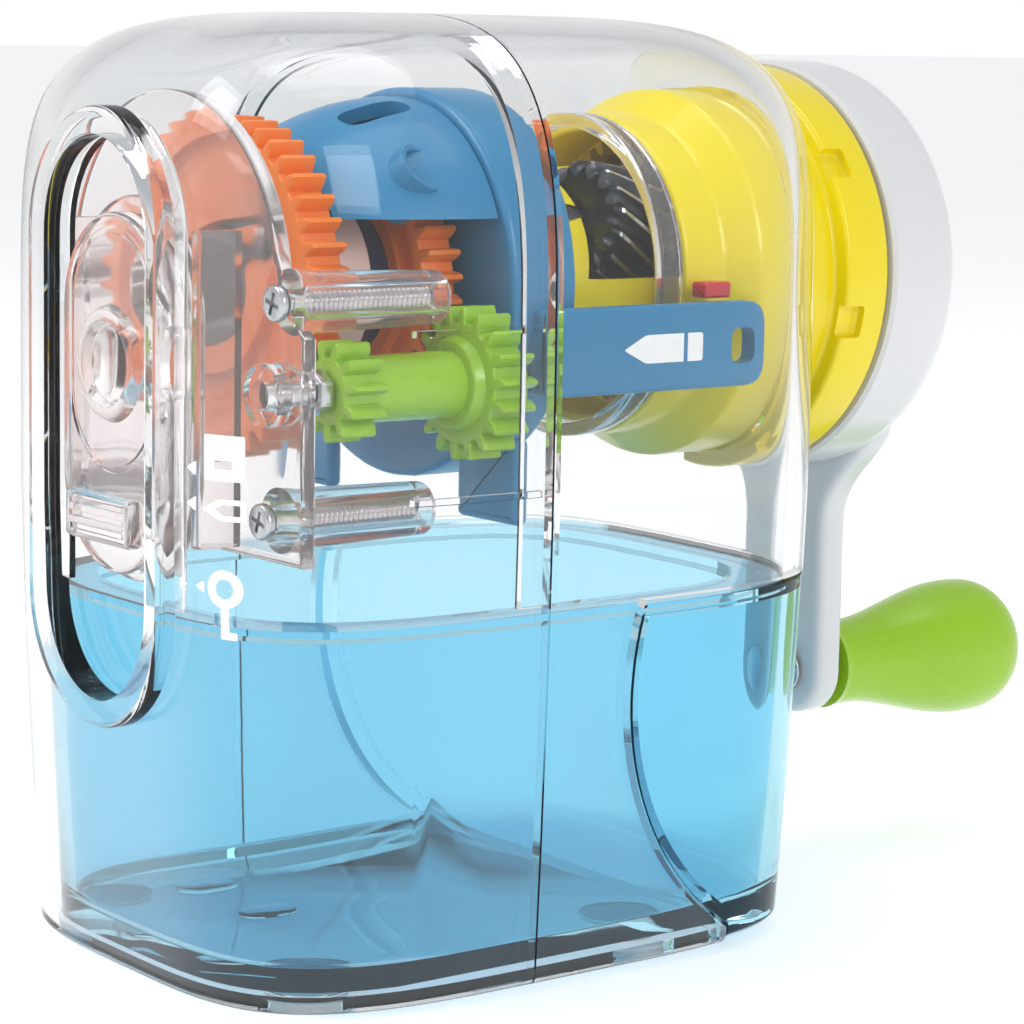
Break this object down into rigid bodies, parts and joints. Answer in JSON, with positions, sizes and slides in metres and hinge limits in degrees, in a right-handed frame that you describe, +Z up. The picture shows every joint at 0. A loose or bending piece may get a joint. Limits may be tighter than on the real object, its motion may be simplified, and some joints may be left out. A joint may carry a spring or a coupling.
{
  "type": "pencil sharpener",
  "caption": "Desk pencil sharpener with a clear body, hand crank, geared chuck and cutter, sliding pencil gate and pull-out shavings drawer.",
  "frame": {"origin": "middle of the footprint of the whole object, on the surface that it stands on", "axes": "+Z up, -Y towards the pencil hole, +Y towards the crank, +X to the right seen from the front"},
  "size_m": [0.074, 0.1588, 0.1199],
  "materials": {
    "clear_plastic": "clear, polished",
    "clear_blue_plastic": "clear blue tint, polished",
    "frosted_plastic": "slightly cloudy clear",
    "orange_plastic": "satin moulded",
    "lime_plastic": "gloss moulded",
    "blue_plastic": "satin moulded",
    "yellow_plastic": "satin moulded",
    "navy_plastic": "satin moulded",
    "pink_plastic": "satin moulded",
    "grey_plastic": "matt moulded",
    "red_plastic": "gloss moulded",
    "white_plastic": "gloss moulded",
    "steel": "turned, bright",
    "blade_steel": "hardened, dark, ground edges",
    "sintered_metal": "dull",
    "foot_rubber": "matt"
  },
  "bodies": {
    "housing": {"front_shell": "clear_plastic", "rear_shell": "clear_plastic", "base_plate": "clear_plastic", "foot_front_left": "foot_rubber", "foot_front_right": "foot_rubber", "foot_rear_left": "foot_rubber", "foot_rear_right": "foot_rubber", "gearbox_plate": "frosted_plastic", "gearbox_screw_top_right": "steel", "gearbox_screw_top_left": "steel", "gearbox_screw_low_right": "steel", "gearbox_screw_low_left": "steel", "transfer_shaft": "steel", "transfer_nut": "steel", "ring_housing": "yellow_plastic", "rear_bush": "white_plastic", "chamber_ring": "frosted_plastic", "mech_frame": "blue_plastic", "frame_hood": "blue_plastic", "release_tab": "red_plastic"},
    "crank": {"crank": "white_plastic", "crank_cap": "white_plastic", "crank_screw": "steel", "crank_shaft": "steel", "knob_pin": "steel", "cutter_carrier": "yellow_plastic", "cutter_axle": "steel", "rear_gear": "orange_plastic", "spindle_tube": "navy_plastic"},
    "knob": {"knob": "lime_plastic"},
    "cutter": {"helical_cutter": "blade_steel", "cutter_pinion": "sintered_metal"},
    "transfer": {"transfer_gear": "lime_plastic"},
    "chuck": {"front_gear": "orange_plastic", "chuck_sleeve": "pink_plastic", "chuck_jaw_1": "grey_plastic", "chuck_jaw_2": "grey_plastic", "chuck_jaw_3": "grey_plastic"},
    "gate": {"pencil_gate": "frosted_plastic"},
    "drawer": {"drawer": "clear_blue_plastic"}
  },
  "joints": [
    {"name": "crank_spin", "type": "hinge", "parent": "housing", "child": "crank", "pos_m": [0, 0.0372, 0.086], "axis": [0, 1, 0], "continuous": true},
    {"name": "knob_spin", "type": "hinge", "parent": "crank", "child": "knob", "pos_m": [0, 0.0602, 0.027], "axis": [0, 1, 0], "continuous": true},
    {"name": "cutter_spin", "type": "hinge", "parent": "crank", "child": "cutter", "pos_m": [0.00709, 0.0068, 0.09154], "axis": [-0.1436, 0.9833, -0.1122], "continuous": true},
    {"name": "transfer_spin", "type": "hinge", "parent": "housing", "child": "transfer", "pos_m": [0.02349, -0.0498, 0.07505], "axis": [0, 1, 0], "continuous": true},
    {"name": "chuck_spin", "type": "hinge", "parent": "housing", "child": "chuck", "pos_m": [0, -0.0578, 0.086], "axis": [0, 1, 0], "continuous": true},
    {"name": "gate_slide", "type": "slide", "parent": "housing", "child": "gate", "axis": [0, 0, 1], "range_m": [0, 0.009]},
    {"name": "drawer_slide", "type": "slide", "parent": "housing", "child": "drawer", "axis": [0, 1, 0], "range_m": [0, 0.017]}
  ],
  "couplings": [
    {"joint": "cutter_spin", "follows": "crank_spin", "ratio": -2},
    {"joint": "transfer_spin", "follows": "crank_spin", "ratio": -2},
    {"joint": "chuck_spin", "follows": "crank_spin", "ratio": 0.51163}
  ]
}
